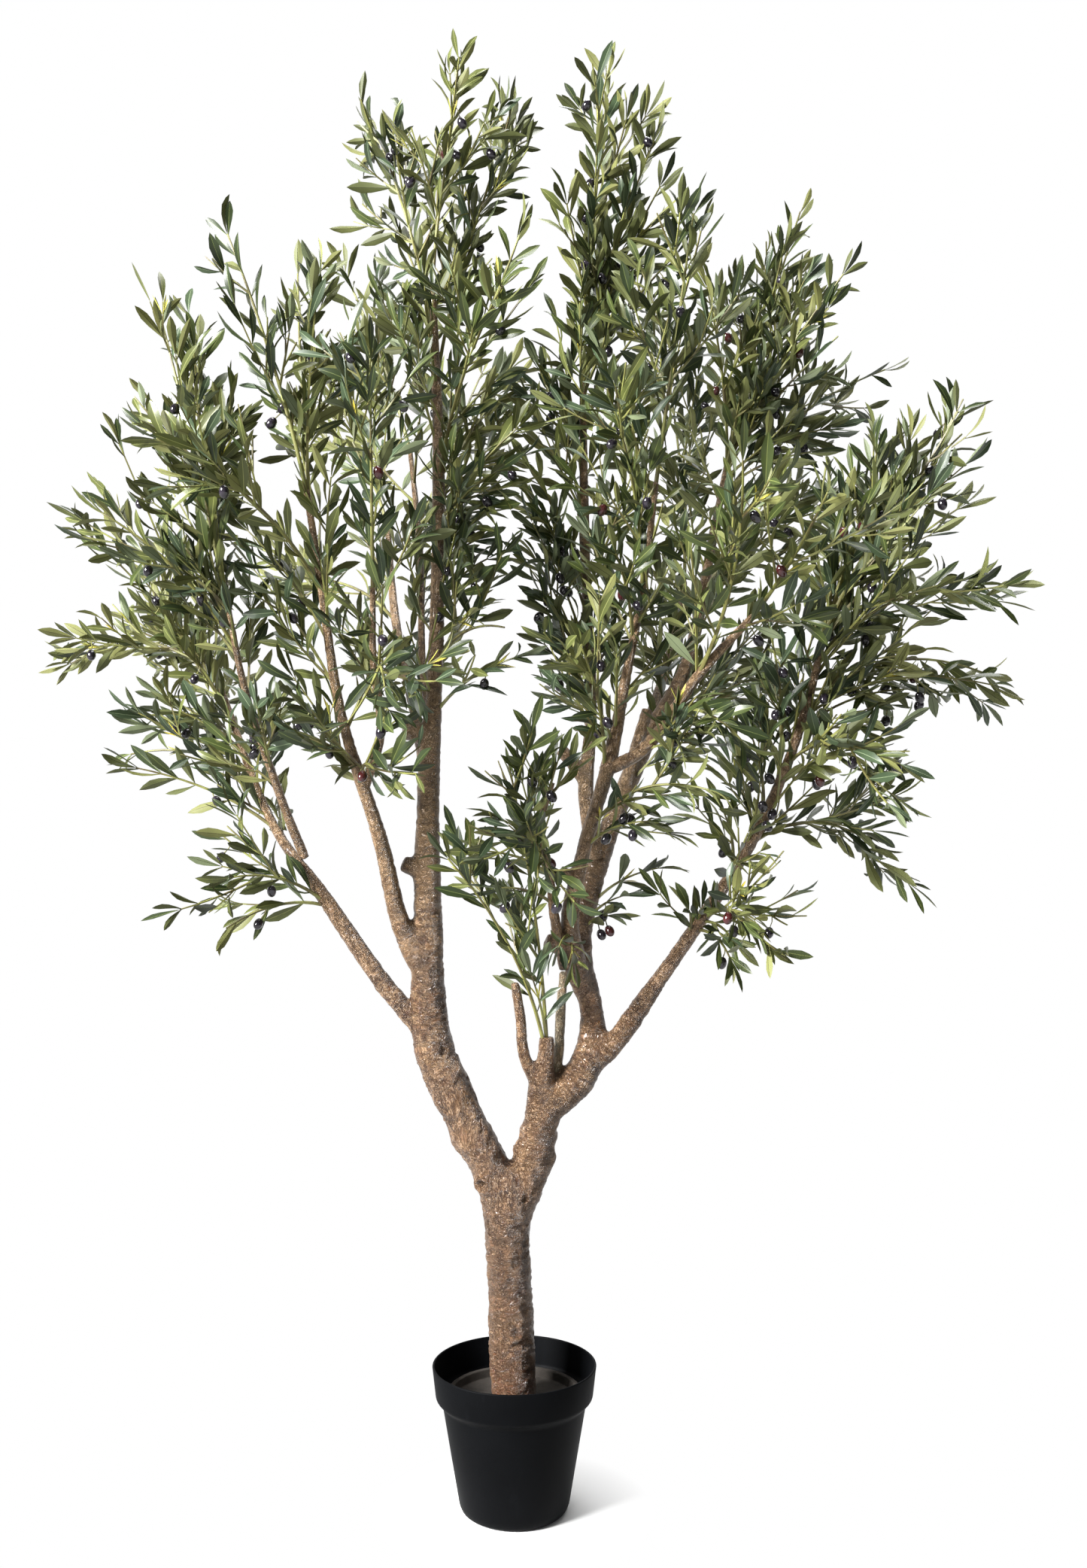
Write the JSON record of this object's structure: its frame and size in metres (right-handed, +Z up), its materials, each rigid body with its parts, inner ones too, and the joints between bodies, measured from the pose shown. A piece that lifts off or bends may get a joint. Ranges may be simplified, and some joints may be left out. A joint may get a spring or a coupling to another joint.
{
  "type": "artificial olive tree in a pot",
  "caption": "Artificial olive tree with a forked moulded trunk, wide leafy crown and dark olives, standing in a tapered black plastic pot.",
  "frame": {"origin": "centre of the pot's flat underside", "axes": "+Z up along the trunk, -Y towards the pictured side, +X to that side's right"},
  "size_m": [1.4596, 0.9699, 2.0972],
  "materials": {
    "pot_plastic": "matte",
    "cement": "rough",
    "bark": "painted satin",
    "foliage": "satin"
  },
  "bodies": {
    "root": {"pot": "pot_plastic", "fill": "cement", "trunk": "bark", "left_main": "bark", "left_low": "bark", "left_low_fork": "bark", "left_mid": "bark", "left_mid_fork": "bark", "left_thin": "bark", "back_left": "bark", "right_main": "bark", "centre": "bark", "right_low": "bark", "right_front": "bark", "front_small": "bark", "right_reach": "bark", "right_up": "bark", "back_right": "bark", "top_left_peak": "foliage", "top_left_side": "foliage", "top_left_right": "foliage", "left_spike": "foliage", "left_shoulder": "foliage", "left_reach_high": "foliage", "left_reach_mid": "foliage", "left_reach_low": "foliage", "left_skirt": "foliage", "left_skirt_low": "foliage", "left_star": "foliage", "left_tuft": "foliage", "left_inner_back": "foliage", "left_inner": "foliage", "left_inner_front": "foliage", "mid_left_front": "foliage", "mid_left_out": "foliage", "mid_left_back": "foliage", "left_back_side": "foliage", "back_left_top": "foliage", "back_left_side": "foliage", "top_right_peak": "foliage", "right_crest": "foliage", "right_horn": "foliage", "right_shoulder": "foliage", "right_reach_high": "foliage", "right_reach_mid": "foliage", "right_reach_low": "foliage", "right_skirt": "foliage", "right_skirt_low": "foliage", "right_star": "foliage", "right_inner_high": "foliage", "right_inner_front": "foliage", "centre_right_front": "foliage", "centre_right_low": "foliage", "right_low_fan": "foliage", "centre_left_tip": "foliage", "centre_up": "foliage", "front_star": "foliage", "back_right_top": "foliage", "back_right_side": "foliage", "back_right_low": "foliage"}
  },
  "joints": []
}
